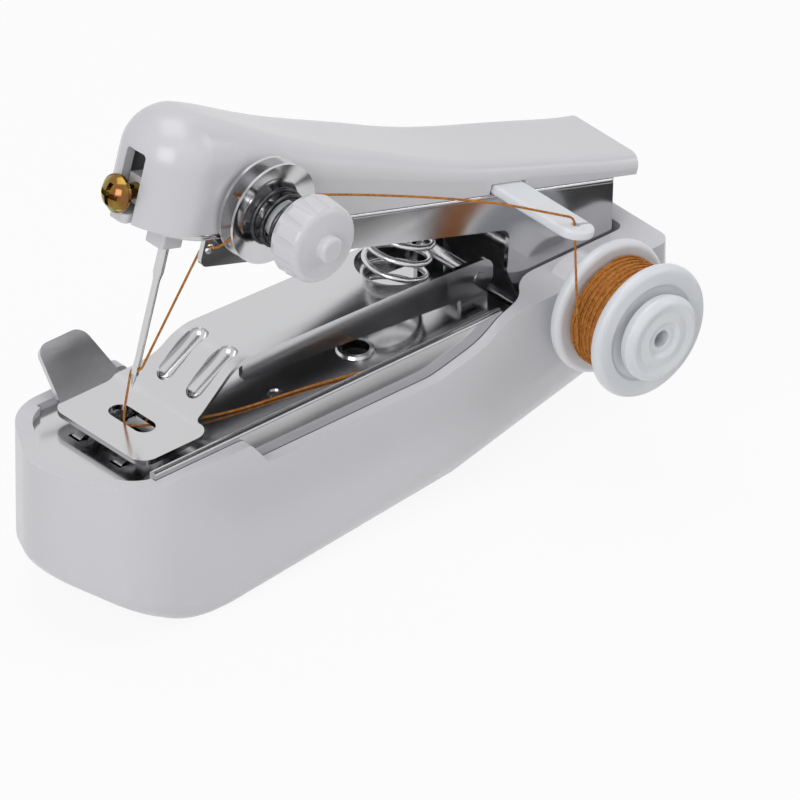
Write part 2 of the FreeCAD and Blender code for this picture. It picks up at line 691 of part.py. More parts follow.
def feed_bar():
    """The sliding feed: a bar with a fork at the rear, the looper's drive pin and two rows of teeth."""
    top = Size.feed_low + Size.feed_thick
    riser_x = (Size.needle_hole_x + 4.2, Size.needle_hole_x + 5.9)
    carrier = Size.bed_top - Size.bed_sheet - 2.4
    mouth_half = Size.drive_radius + Size.run_gap
    fork_x = (drive_x - 2.8, drive_x + 2.8)
    fork = brick(fork_x, (-Size.feed_half, Size.feed_half), (drive_z - mouth_half - 0.85, drive_z + 2.6))
    mouth = brick(
        (drive_x - mouth_half, drive_x + mouth_half), (-5, 5), (drive_z - mouth_half - 0.2, drive_z + 5)
    )
    bar = brick((riser_x[0], drive_x), (-Size.feed_half, Size.feed_half), (Size.feed_low, top))
    riser = brick(riser_x, (-Size.feed_half, 1.4), (Size.feed_low, carrier + 1.4))
    yoke = brick((riser_x[0], riser_x[1] + 1), (-Size.dog_outer, Size.dog_outer), (carrier, carrier + 1.4))
    crank = drum("z", Vector(crank_x, crank_y, Size.feed_low + 0.5), Size.crank_radius,
                 Size.looper_low + Size.looper_thick + 0.3 - Size.feed_low - 0.5)
    teeth = int(dog_length / Size.dog_pitch)
    ridge = [(Size.dog_front, carrier)]
    for index in range(teeth):
        start = Size.dog_front + index * Size.dog_pitch
        ridge.append((start, Size.dog_top - 0.7))
        ridge.append((start + Size.dog_pitch, Size.dog_top))
    ridge.append((Size.dog_front + teeth * Size.dog_pitch, carrier))
    rows = [
        prism_across(ridge, *sorted((sign * Size.dog_inner, sign * Size.dog_outer))) for sign in (-1, 1)
    ]
    return bar.fuse([fork, riser, yoke, crank] + rows).cut(mouth).removeSplitter()


shaped("feed_bar", feed_bar())


def looper():
    """The looper: a hub, a slotted lever and a blade that sweeps past the needle on a circle."""
    thick = Size.looper_thick
    hub = Part.makeCylinder(2.6, thick)
    lever = brick((-1.9, 1.9), (-Size.looper_lever - 1.9, 0), (0, thick))
    blade_inner = Size.looper_blade - 1.3
    start, stop = math.radians(190), math.radians(212)

    def at(radius, angle):
        return Vector(radius * math.cos(angle), radius * math.sin(angle), 0)

    middle = (start + stop) / 2
    edges = [
        Part.Arc(at(Size.looper_blade, start), at(Size.looper_blade, middle), at(Size.looper_blade, stop)),
        Part.LineSegment(at(Size.looper_blade, stop), at(blade_inner + 0.5, stop)),
        Part.Arc(at(blade_inner + 0.5, stop), at(blade_inner + 0.1, middle), at(blade_inner, start)),
        Part.LineSegment(at(blade_inner, start), at(Size.looper_blade, start)),
    ]
    blade = Part.Face(Part.Wire([edge.toShape() for edge in edges])).extrude(Vector(0, 0, thick))
    arm_end = -Size.looper_blade + 0.5
    arm = prism_up([(0, -1.0), (arm_end, -1.0), (arm_end, 0.9), (0, 0.9)], 0, thick)
    arm.rotate(Vector(), Vector(0, 0, 1), 11.5)
    arm = arm.common(Part.makeCylinder(Size.looper_blade, thick))
    slot_half_width = Size.crank_radius + Size.run_gap
    slot = prism_up(
        [
            (-slot_half_width, -Size.looper_lever - 1.1, 0.7),
            (slot_half_width, -Size.looper_lever - 1.1, 0.7),
            (slot_half_width, -Size.looper_lever + 1.2, 0.7),
            (-slot_half_width, -Size.looper_lever + 1.2, 0.7),
        ],
        -1,
        thick + 1,
    )
    bore = Part.makeCylinder(Size.looper_pin_radius + Size.run_gap, 9, Vector(0, 0, -3))
    return hub.fuse([lever, blade, arm]).cut([slot, bore]).removeSplitter()


looper_rest = FreeCAD.Rotation(Vector(0, 0, 1), -math.degrees(math.asin(feed_stroke / 2 / Size.looper_lever)))
looper_place = FreeCAD.Placement(Vector(Size.looper_x, Size.looper_y, Size.looper_low), looper_rest)
shaped("looper", looper(), looper_place)


def capsule(start, end, radius):
    """A round bar with ball ends."""
    along = end - start
    bar = Part.makeCylinder(radius, along.Length, start, along)
    return bar.fuse([Part.makeSphere(radius, start), Part.makeSphere(radius, end)])


def presser_plate():
    """The plated presser: wide foot with a needle slot and lift tab, ramp, top plate and side ears."""
    sheet_low = Size.plate_sheet

    def profile(drop):
        return [
            (Size.foot_front, Size.foot_top - drop),
            (Size.ramp_foot, Size.foot_top - drop, Size.ramp_bend + drop),
            (Size.ramp_head, Size.plate_top - drop, Size.ramp_bend - drop),
            (Size.plate_rear, Size.plate_rear_top - drop),
        ]

    upper = profile(0)
    lower = profile(sheet_low)
    strip = prism_across(upper + lower[::-1], -Size.foot_half, Size.foot_half)
    plan = prism_up(
        [
            (Size.foot_front, -Size.foot_half, 2.6),
            (Size.foot_front, Size.foot_half, 2.6),
            (Size.foot_back, Size.foot_half, 3.0),
            (Size.ramp_head - 4.0, Size.plate_half + 0.4, 5.0),
            (Size.ramp_head, Size.plate_half, 20),
            (Size.plate_rear, Size.plate_half),
            (Size.plate_rear, -Size.plate_half),
            (Size.ramp_head, -Size.plate_half, 20),
            (Size.foot_back, -Size.plate_half - 0.6, 0.9),
            (Size.foot_back, -Size.foot_half, 1.8),
        ],
        0,
        60,
    )
    spring_way = drum("z", Vector(spring_mid_x, 0, Size.plate_rear_top - 8), Size.spring_hole, 16)
    plate = strip.common(plan).cut(spring_way)
    ear = [
        (Size.ramp_head + 1.0, Size.plate_top - 3.8, 1.0),
        (Size.presser_x - 2.0, Size.presser_height - 2.3, 6.0),
        (Size.presser_x + 2.6, Size.presser_height - 2.3, 2.2),
        (Size.presser_x + 2.6, Size.presser_height + 2.8, 2.2),
        (Size.plate_rear, Size.plate_rear_top - 0.3),
        (Size.ramp_head + 1.0, Size.plate_top - 0.3),
    ]
    ears = [
        prism_across(ear, *sorted((sign * Size.plate_half, sign * (Size.plate_half - sheet_low))))
        for sign in (-1, 1)
    ]
    root, end = Size.lift_tab_root, Size.lift_tab_end
    tab_outline = [(-root, 0), (root, 0), (end, Size.lift_tab, 2.2), (-end, Size.lift_tab, 2.2)]
    tab = prism_up(tab_outline, -sheet_low, 0)
    tab.rotate(Vector(), Vector(1, 0, 0), Size.lift_tab_slope)
    tab.translate(Vector(Size.lift_tab_x, Size.foot_half - 0.4, Size.foot_top))
    plate = plate.fuse(ears + [tab])
    slot_front = Size.needle_hole_x - Size.foot_slot_radius
    slot_back = Size.needle_hole_x + Size.foot_slot_radius + Size.foot_slot_rear
    slot_side = Size.foot_slot_half + Size.foot_slot_radius
    slot_round = 0.49 * (slot_back - slot_front)
    slot = prism_up(
        [
            (slot_front, -slot_side, slot_round),
            (slot_back, -slot_side, slot_round),
            (slot_back, slot_side, slot_round),
            (slot_front, slot_side, slot_round),
        ],
        Size.foot_top - 3,
        Size.foot_top + 3,
    )
    pin_way = drum("y", Vector(Size.presser_x, -20, Size.presser_height), Size.presser_pin + Size.run_gap, 40)
    plate = plate.cut([slot, pin_way])
    below = prism_across(
        upper + [(Size.plate_rear, 0), (Size.foot_front, 0)],
        -Size.plate_half + sheet_low,
        Size.plate_half - sheet_low,
    )
    grooves = [
        (
            Vector(Size.ramp_foot + 2 * Size.groove_radius, y, Size.foot_top + 1.9 * Size.groove_radius),
            Vector(Size.ramp_head + Size.groove_radius / 2, y, Size.plate_top),
        )
        for y in (-Size.groove_side, Size.groove_side)
    ]
    for foot, head in grooves:
        plate = plate.fuse(capsule(foot, head, Size.groove_radius + 0.75 * sheet_low).common(below))
    for foot, head in grooves:
        plate = plate.cut(capsule(foot, head, Size.groove_radius))
    return plate.removeSplitter()


lean = math.radians(Size.spring_lean)
rise = math.radians(Size.arm_rise)
spring_foot = Size.bed_top + Size.spring_wire / 2 + Size.spring_radius * math.sin(lean) + Size.fit_gap
arm_over_spring = (
    Size.pivot_height + Size.web_low / math.cos(rise) + (Size.pivot_x - Size.spring_x) * math.tan(rise)
)
spring_room = arm_over_spring - spring_foot - Size.spring_headroom
spring_length = spring_room / (math.cos(lean) + math.tan(rise) * math.sin(lean))
spring_mid_x = Size.spring_x + (Size.plate_rear_top - spring_foot) * math.tan(lean)
shaped("presser_plate", presser_plate())


def coil_path(radii, heights, turns):
    """Half-turn arcs of a left-handed coil whose radius and height run evenly between two ends."""
    halves = int(round(turns * 2))

    def at(step):
        share = step / (halves * 2.0)
        radius = radii[0] + (radii[1] - radii[0]) * share
        angle = -math.pi / 2 * step
        height = heights[0] + (heights[1] - heights[0]) * share
        return Vector(radius * math.cos(angle), radius * math.sin(angle), height)

    arcs = [Part.Arc(at(2 * step), at(2 * step + 1), at(2 * step + 2)).toShape() for step in range(halves)]
    return Part.Wire(arcs), [at(step / 8.0) for step in range(16 * halves + 1)]


def coil(label, radii, heights, turns, wire):
    """One unbroken coiled wire, and the least gap between its neighbouring turns."""
    path, trail = coil_path(radii, heights, turns)
    start = path.Edges[0]
    middle = start.Vertexes[0].Point
    section = Part.Wire(Part.makeCircle(wire / 2, middle, start.tangentAt(start.FirstParameter)))
    solid = path.makePipeShell([section], True, False)
    per_turn = 32
    gap = min(
        trail[i].distanceToPoint(trail[j])
        for i in range(0, len(trail))
        for j in range(i + per_turn * 3 // 4, min(i + per_turn * 5 // 4, len(trail)))
    ) - wire
    print(label, "turns", turns, "least gap", round(gap, 2), "valid", solid.isValid())
    return solid


spring_place = FreeCAD.Placement(
    Vector(Size.spring_x, 0, spring_foot),
    FreeCAD.Rotation(Vector(0, 1, 0), Size.spring_lean),
)
return_coil = coil(
    "return_spring", (Size.spring_radius, Size.spring_radius), (0, spring_length),
    Size.spring_turns, Size.spring_wire,
)
shaped("return_spring", return_coil, spring_place)


def arm_channel():
    """The plated arm: top plate with a rolled edge, two deep side walls, and the tension lug."""
    wall = [
        (-Size.wall_reach, Size.web_low + 0.3),
        (-Size.wall_reach, Size.web_low - 4.4, 1.5),
        (-17.0, Size.web_low - 5.4, 2.0),
        (-15.5, 4.0, 3.0),
        (-3.0, tail_z - tail_margin, 3.0),
        (4.5, tail_z - tail_margin, 2.6),
        (5.2, 4.0, 8.0),
        (Size.web_tail, Size.web_low + 0.3),
    ]
    walls = [
        prism_across(wall, *sorted((sign * Size.arm_half, sign * arm_inner))) for sign in (-1, 1)
    ]
    web = prism_up(
        [
            (Size.web_tail, -Size.web_half, 1.0),
            (-Size.web_reach, -Size.web_half, 7.0),
            (-Size.web_reach, Size.web_half, 7.0),
            (Size.web_tail, Size.web_half, 1.0),
        ],
        Size.web_low,
        web_top,
    )
    web = web.makeFillet(0.42, [edge for edge in web.Edges if edge.BoundBox.ZLength < 1e-6])
    lug = prism_across(
        [
            (-Size.tension_reach - 4, web_top - 0.3),
            (-Size.tension_reach + 4, web_top - 0.3),
            (-Size.tension_reach + 4, Size.tension_height + 3.6, 3.0),
            (-Size.tension_reach - 4, Size.tension_height + 3.6, 3.0),
        ],
        -lug_face,
        -lug_face + Size.arm_sheet,
    )
    channel = web.fuse(walls + [lug])
    window = (-Size.needle_reach - Size.stub_front - 0.1, -Size.needle_reach + Size.stub_rear + 0.1)
    holes = [
        drum("y", Vector(0, -20, 0), Size.pivot_radius + Size.run_gap, 40),
        drum("y", Vector(tail_x, -20, tail_z), Size.drive_radius + 0.02, 40),
        drum("y", Vector(-Size.tension_reach, -20, Size.tension_height), Size.post_radius + 0.02, 20),
        brick(window, (-Size.stub_half - 0.1, Size.stub_half + 0.1), (Size.web_low - 2, web_top + 2)),
        drum("y", Vector(-Size.wall_reach + 1.2, -20, Size.web_low - 1.6), 0.8, 20),
    ]
    return channel.cut(holes).removeSplitter()


lug_face = Size.cover_half - Size.cover_wall - 0.2
tail_point = arm_place.inverse().multVec(Vector(drive_x, 0, drive_z))
tail_x, tail_z = tail_point.x, tail_point.z
tail_margin = 1.8 * Size.drive_radius
shaped("arm_channel", arm_channel(), arm_place)


COVER_STATIONS = (
    (Size.cover_tail, Size.cover_rear_height, 2.0),
    (-0.127 * Size.needle_reach, Size.cover_rear_height + 0.8, 2.1),
    (-0.280 * Size.needle_reach, Size.cover_waist_height - 0.35, 2.3),
    (-0.407 * Size.needle_reach, Size.cover_waist_height + 0.75, 2.6),
    (-0.534 * Size.needle_reach, Size.cover_waist_height + 2.6, 3.0),
    (-0.687 * Size.needle_reach, Size.cover_crown_height - 6.8, 3.8),
    (-0.840 * Size.needle_reach, Size.cover_crown_height - 4.0, 5.0),
    (-0.940 * Size.needle_reach, Size.cover_crown_height - 1.7, 6.1),
    (Size.cover_half - Size.cover_reach, Size.cover_crown_height, Size.nose_dome),
)


def cover_edges(height, edge_round, inset, low):
    """Half of the cover's cross-section in (sideways, up) points: side, edge with its middle, and top."""
    side = Size.cover_half - inset
    top = height - inset
    radius = edge_round - 0.6 * inset
    bend = radius * math.sqrt(0.5)
    return [
        (side, low),
        (side, top - radius),
        (side - radius + bend, top - radius + bend),
        (side - radius, top),
    ]


def cover_block(inset, low):
    """The cover as a full block, drawn in by an inset: a long hood that ends in a turned dome."""
    wires = []
    for x, height, edge_round in COVER_STATIONS:
        left = [Vector(x, y, z) for y, z in cover_edges(height, edge_round, inset, low)]
        right = [Vector(x, -point.y, point.z) for point in left]
        edges = [
            Part.LineSegment(left[0], left[1]),
            Part.Arc(left[1], left[2], left[3]),
            Part.LineSegment(left[3], right[3]),
            Part.Arc(right[3], right[2], right[1]),
            Part.LineSegment(right[1], right[0]),
            Part.LineSegment(right[0], left[0]),
        ]
        wires.append(Part.Wire([edge.toShape() for edge in edges]))
    hood = Part.makeLoft(wires, True, False)
    x, height, edge_round = COVER_STATIONS[-1]
    rim = [Vector(x, y, z) for y, z in cover_edges(height, edge_round, inset, low)]
    foot = Vector(x, 0, low)
    crown = Vector(x, 0, height - inset)
    edges = [
        Part.LineSegment(foot, rim[0]),
        Part.LineSegment(rim[0], rim[1]),
        Part.Arc(rim[1], rim[2], rim[3]),
        Part.LineSegment(rim[3], crown),
        Part.LineSegment(crown, foot),
    ]
    half_section = Part.Face(Part.Wire([edge.toShape() for edge in edges]))
    dome = half_section.revolve(foot, Vector(0, 0, 1), 180)
    return hood.fuse(dome).removeSplitter()


def arm_cover():
    """The moulded cover over the arm: domed nose, waist and square tail."""
    hollow = cover_block(Size.cover_wall, web_top - 1)
    hollow = hollow.common(brick((-200, Size.cover_tail - Size.cover_wall), (-20, 20), (0, 60)))
    shell = cover_block(0, web_top).cut(hollow)
    slot_side = 2.0
    screw_slot = prism_up(
        [
            (web_top - 1, -slot_side),
            (Size.clamp_height + 6.4, -slot_side, 0.7),
            (Size.clamp_height + 6.4, slot_side, 0.7),
            (web_top - 1, slot_side),
        ],
        Size.cover_reach - 5,
        Size.cover_reach + 5,
    )
    screw_slot.rotate(Vector(), Vector(0, 1, 0), -90)
    guide_notch = brick(
        (-Size.guide_reach - Size.guide_half - 0.4, -Size.guide_reach + Size.guide_half + 0.4),
        (-Size.cover_half - 2, 0),
        (web_top - 1, web_top + Size.guide_thick + 0.1),
    )
    post_way = drum("y", Vector(-Size.tension_reach, -20, Size.tension_height), Size.post_radius + 0.6, 20)
    return shell.cut([screw_slot, guide_notch, post_way]).removeSplitter()


shaped("arm_cover", arm_cover(), arm_place)


def needle_holder():
    """The moulded block that grips the needle: stub under the arm, horn to the clamp screw, front lip."""
    x = (-Size.needle_reach - 5.0, -Size.needle_reach + 4.4)
    seat = web_top + Size.fit_gap
    body = brick(x, (-Size.holder_half, Size.holder_half), (seat, Size.clamp_height + 4))
    body = body.makeFillet(1.0, [edge for edge in body.Edges if edge.BoundBox.ZLength > 1])
    stub = brick(
        (-Size.needle_reach - Size.stub_front, -Size.needle_reach + Size.stub_rear),
        (-Size.stub_half, Size.stub_half),
        (Size.holder_low, seat + 1),
    )
    stub = stub.makeFillet(0.5, [edge for edge in stub.Edges if edge.BoundBox.ZLength > 1])
    horn = brick(
        (-Size.cover_reach + Size.cover_wall + 0.2, x[0] + 0.5),
        (-1.8, 1.8),
        (Size.clamp_height - 2.0, Size.clamp_height + 2.2),
    )
    lip_front = -Size.cover_reach - Size.lip_stand
    lip = prism_up(
        [
            (lip_front, -Size.lip_half, 0.8),
            (x[0] + 0.5, -Size.lip_half),
            (x[0] + 0.5, Size.lip_half),
            (lip_front, Size.lip_half, 0.8),
        ],
        seat,
        seat + Size.lip_thick,
    )
    needle_foot = Vector(-Size.needle_reach, 0, 0)
    needle_way = drum("z", needle_foot, Size.shank_radius + 0.02, Size.clamp_height + 1.8)
    screw_start = Vector(-100, 0, Size.clamp_height)
    screw_way = drum("x", screw_start, Size.clamp_radius + Size.run_gap, 100 - Size.needle_reach)
    return body.fuse([stub, horn, lip]).cut([needle_way, screw_way]).removeSplitter()


shaped("needle_holder", needle_holder(), arm_place)


def needle():
    """The needle: stout shank, slim blade, point and an eye across it."""
    shank_low = Size.holder_low - 4.5
    top = Size.clamp_height + 1.6
    stem = Part.makeCylinder(Size.shank_radius, top - shank_low, Vector(0, 0, shank_low))
    neck = Part.makeCone(Size.needle_radius, Size.shank_radius, 1.2, Vector(0, 0, shank_low - 1.2))
    point_low = Size.needle_tip + 2.2
    blade = Part.makeCylinder(Size.needle_radius, shank_low - 1.2 - point_low, Vector(0, 0, point_low))
    point = Part.makeCone(0.06, Size.needle_radius, 2.2, Vector(0, 0, Size.needle_tip))
    eye = brick(
        (-Size.eye_width / 2, Size.eye_width / 2), (-5, 5), (Size.eye_height - 0.7, Size.eye_height + 0.7)
    )
    return stem.fuse([neck, blade, point]).cut(eye).removeSplitter()


shaped("needle", needle(), on_arm(-Size.needle_reach, 0, 0))


def clamp_screw():
    """The needle clamp screw: domed head with a cross recess, washer face and shank."""
    head_height = 2.2
    sphere_radius = (Size.clamp_head ** 2 + head_height ** 2) / (2 * head_height)
    head = Part.makeSphere(sphere_radius, Vector(0, 0, head_height - sphere_radius))
    head = head.common(Part.makeCylinder(Size.clamp_head, head_height + 1, Vector(0, 0, 0.35)))
    head = head.fuse(Part.makeCylinder(Size.clamp_head, 0.4))
    shank_length = clamp_seat - Size.needle_reach - Size.shank_radius - Size.fit_gap
    screw = head.fuse(Part.makeCylinder(Size.clamp_radius, shank_length, Vector(0, 0, -shank_length)))
    for size in ((0.8, 3.4), (3.4, 0.8)):
        bounds = [(-width / 2, width / 2) for width in size]
        cross = brick(*bounds, (head_height - 1.1, head_height + 1))
        screw = screw.cut(cross)
    return screw.removeSplitter()


clamp_seat = Size.cover_reach + Size.clamp_stand
forward = FreeCAD.Rotation(Vector(0, 1, 0), -90)
shaped("needle_clamp_screw", clamp_screw(), on_arm(-clamp_seat, 0, Size.clamp_height, forward))


def tension_axis(y):
    """A place on the tension axis, height running along -Y."""
    return on_arm(-Size.tension_reach, y, Size.tension_height, FreeCAD.Rotation(Vector(1, 0, 0), 90))


post_length = Size.knob_back + Size.knob_length - 1.6 - (lug_face - 3.4)
shoulder_low = 3.4 + Size.cover_wall + 0.25
shoulder_high = Size.disc_seat - Size.disc_sheet - (lug_face - 3.4) - 0.02
lathe(
    "tension_post",
    [
        (0, 0),
        (3.0, 0, 0.3),
        (3.0, 2.55),
        (Size.post_radius, 2.55),
        (Size.post_radius, shoulder_low),
        (3.0, shoulder_low),
        (3.0, shoulder_high),
        (Size.post_radius, shoulder_high),
        (Size.post_radius, post_length, 0.4),
        (0, post_length),
    ],
    tension_axis(-(lug_face - 3.4)),
)


def disc_profile(flare):
    """Half section of a tension disc: flat middle, dished rim that flares away from the thread."""
    bore = Size.post_radius + Size.run_gap
    sheet_thick = Size.disc_sheet
    return [
        (bore, 0),
        (Size.disc_radius * 0.62, 0, 3.0),
        (Size.disc_radius, flare * 1.7),
        (Size.disc_radius, flare * 1.7 + sheet_thick),
        (Size.disc_radius * 0.62, sheet_thick, 3.0),
        (bore, sheet_thick),
    ]


lathe("tension_disc_inner", disc_profile(-0.3), tension_axis(-(Size.disc_seat - Size.disc_sheet)))
lathe("tension_disc_outer", disc_profile(0.6), tension_axis(-(Size.disc_seat + Size.disc_gap)))

cup_thick = 0.6
cup_start = Size.knob_back - cup_thick - 0.05
sleeve_radius = 2.9
coil_start = Size.disc_seat + Size.disc_gap + Size.disc_sheet
tension_coil_solid = coil(
    "tension_spring",
    (Size.tension_coil, sleeve_radius + Size.tension_wire / 2 + 0.3),
    (Size.tension_wire / 2 + 0.1, cup_start - coil_start - Size.tension_wire / 2 - 0.1),
    Size.tension_turns,
    Size.tension_wire,
)
shaped("tension_spring", tension_coil_solid, tension_axis(-coil_start))
lathe(
    "tension_cup",
    [(sleeve_radius + 0.1, 0), (5.0, 0, 0.2), (5.0, cup_thick, 0.2), (sleeve_radius + 0.1, cup_thick)],
    tension_axis(-cup_start),
)


def tension_knob():
    """The tension knob: sleeve, tapered hand wheel with flutes, and an end nub."""
    bore = Size.post_radius + Size.run_gap
    sleeve_low = -(Size.knob_back - coil_start - 2.2)
    end = Size.knob_length
    profile = [
        (bore, sleeve_low),
        (sleeve_radius, sleeve_low, 0.3),
        (sleeve_radius, 0),
        (Size.knob_radius - 0.5, 0, 0.4),
        (Size.knob_radius, 1.2, 0.6),
        (Size.knob_radius - 0.4, end - 0.4, 1.1),
        (2.0, end),
        (2.0, end + 1.4, 0.6),
        (0, end + 1.4),
        (0, end + 0.2),
        (bore, end + 0.2),
    ]
    wheel = outline_face(profile)
    wheel.rotate(Vector(), Vector(1, 0, 0), 90)
    wheel = wheel.revolve(Vector(), Vector(0, 0, 1), 360)
    flutes = 12
    for index in range(flutes):
        angle = 2 * math.pi * index / flutes
        reach = Size.knob_radius + Size.flute_radius - Size.flute_depth
        flute_foot = Vector(reach * math.cos(angle), reach * math.sin(angle), -0.01)
        flute = Part.makeCylinder(Size.flute_radius, 30, flute_foot)
        wheel = wheel.cut(flute)
    return wheel


shaped("tension_knob", tension_knob(), tension_axis(-Size.knob_back))


def thread_guide():
    """The moulded thread guide: a tongue under the cover with a rounded tip and a slit thread hole."""
    x = -Size.guide_reach
    tongue = prism_up(
        [
            (x - Size.guide_half, -2.5),
            (x - Size.guide_half, -Size.guide_tip, Size.guide_half - 0.3),
            (x + Size.guide_half, -Size.guide_tip, Size.guide_half - 0.3),
            (x + Size.guide_half, -2.5),
        ],
        web_top,
        web_top + Size.guide_thick,
    )
    rims = [edge for edge in tongue.Edges if edge.BoundBox.ZLength < 1e-6 and edge.BoundBox.YMin < -3]
    tongue = tongue.makeFillet(0.5, rims)
    hole_y = -Size.guide_tip + 2.6
    hole = drum("z", Vector(x, hole_y, web_top - 1), Size.guide_hole, 5)
    slit = brick((x, x + Size.guide_half + 1), (hole_y - 0.3, hole_y + 0.3), (web_top - 1, web_top + 3))
    return tongue.cut([hole, slit]).removeSplitter()


shaped("thread_guide", thread_guide(), arm_place)

drive_pin = rod("drive_pin", "y", (), "drive_radius", "2 * arm_half")
drive_place = FreeCAD.Placement(Vector(drive_x, -Size.arm_half, drive_z), AXIS["y"][1])
register(drive_pin, "drive_pin", drive_place)


def spool_axis(y):
    """A place on the bobbin's axis, height running along -Y."""
    return facing_right(Size.spool_x, -y, Size.spool_height)


spindle_start = half_width - 4.6
head_start = Size.bobbin_inner + Size.bobbin_length + 0.3 - spindle_start
lathe(
    "spool_spindle",
    [
        (0, 0),
        (Size.spindle_radius, 0, 0.5),
        (Size.spindle_radius, head_start),
        (Size.spindle_head - 0.4, head_start, 0.4),
        (Size.spindle_head, head_start + 1.6, 0.6),
        (Size.spindle_head - 0.9, head_start + 2.6, 0.8),
        (Size.spindle_head - 2.4, head_start + 2.2, 0.6),
        (2.9, head_start + 2.4, 0.5),
        (2.3, head_start + 1.9, 0.3),
        (1.35, head_start + 1.9, 0.2),
        (1.35, head_start - 2.0),
        (0, head_start - 2.0),
    ],
    spool_axis(spindle_start),
)

bobbin_bore = Size.spindle_radius + Size.run_gap
lathe(
    "bobbin",
    [
        (bobbin_bore, 0),
        (Size.flange_radius, 0, 0.9),
        (Size.flange_radius, Size.flange_thick, 0.9),
        (Size.bobbin_core, Size.flange_thick - 0.4),
        (Size.bobbin_core, Size.bobbin_length - Size.flange_thick + 0.4),
        (Size.flange_radius, Size.bobbin_length - Size.flange_thick, 0.9),
        (Size.flange_radius, Size.bobbin_length, 0.9),
        (Size.spindle_head + 0.9, Size.bobbin_length, 0.4),
        (Size.spindle_head + 0.5, Size.bobbin_length - 0.5, 0.4),
        (bobbin_bore, Size.bobbin_length - 0.5),
    ],
    spool_axis(Size.bobbin_inner),
)

winding_start = Size.bobbin_inner + Size.flange_thick + 0.02
winding_length = Size.bobbin_length - 2 * Size.flange_thick - 0.04
lathe(
    "thread_winding",
    [
        (Size.bobbin_core + 0.02, 0),
        (Size.winding_radius, 0, 0.6),
        (Size.winding_radius, winding_length, 0.6),
        (Size.bobbin_core + 0.02, winding_length),
    ],
    spool_axis(winding_start),
)
turn_radius = Size.winding_radius + Size.wound_thread / 2 + 0.03
turn_margin = (winding_length - Size.wound_pitch * Size.wound_turns) / 2
turns_solid = coil(
    "thread_turns",
    (turn_radius, turn_radius),
    (turn_margin, winding_length - turn_margin),
    Size.wound_turns,
    Size.wound_thread,
)
shaped("thread_turns", turns_solid, spool_axis(winding_start))


UPPER_ROUTE = (
    (29.70, -21.45, 22.20),
    (27.73, -22.70, 46.10, 1.6),
    (13.50, -18.10, 53.00),
    (-10.80, -10.00, 60.40),
    (-24.50, -9.90, 65.20),
)
LOWER_ROUTE = (
    (-22.60, -9.90, 60.20),
    (-27.30, -9.50, 57.50, 1.1),
    (-28.20, -6.10, 56.80, 1.1),
    (-35.52, -0.95, 36.10, 0.5),
    (-35.55, 0.95, 35.85, 0.5),
    (-37.30, 0.95, 27.40),
    (-36.60, 0.60, 26.30),
    (-29.00, -3.20, 26.00),
    (-21.00, -5.60, 25.65),
    (-12.50, -6.90, 25.65),
    (-4.50, -8.60, 25.65),
    (3.50, -10.90, 25.65),
)


def thread_tube(label, route):
    """A sewing thread: straight runs and tangent arcs, as wide as the runs allow or as tight as given."""
    points = [Vector(*point[:3]) for point in route]
    edges = []
    radii = []
    here = points[0]
    for index in range(1, len(points) - 1):
        before = points[index - 1] - points[index]
        after = points[index + 1] - points[index]
        half_turn = (math.pi - before.getAngle(after)) / 2
        shorter = min(before.Length, after.Length)
        radius = route[index][3] if len(route[index]) > 3 else 0.45 * shorter / math.tan(half_turn)
        reach = radius * math.tan(half_turn)
        before.normalize()
        after.normalize()
        inward = (before + after).normalize()
        enter = points[index] + before * reach
        leave = points[index] + after * reach
        middle = points[index] + inward * (radius / math.cos(half_turn) - radius)
        edges.append(Part.LineSegment(here, enter).toShape())
        edges.append(Part.Arc(enter, middle, leave).toShape())
        radii.append(round(radius, 1))
        here = leave
    edges.append(Part.LineSegment(here, points[-1]).toShape())
    path = Part.Wire(edges)
    direction = points[1] - points[0]
    section = Part.Wire(Part.makeCircle(Size.thread / 2, points[0], direction))
    tube = path.makePipeShell([section], True, False)
    filled = tube.Volume / (math.pi * (Size.thread / 2) ** 2 * path.Length)
    print(label, "length", round(path.Length, 1), "radii", radii, "volume share", round(filled, 3))
    return tube


shaped("thread_upper", thread_tube("thread_upper", UPPER_ROUTE))
shaped("thread_lower", thread_tube("thread_lower", LOWER_ROUTE))

doc.recompute()
problems = [item.Label for item in doc.Objects if "Invalid" in item.State or "Error" in item.State]
for item in parts:
    if item.Shape.isNull() or not item.Shape.isValid():
        problems.append(item.Label)
if problems:
    raise RuntimeError("not built: " + ", ".join(problems))
os.makedirs("parts", exist_ok=True)
for item in parts:
    item.Shape.exportStep("parts/%s.step" % item.Label)
print(len(parts), "sub-parts")
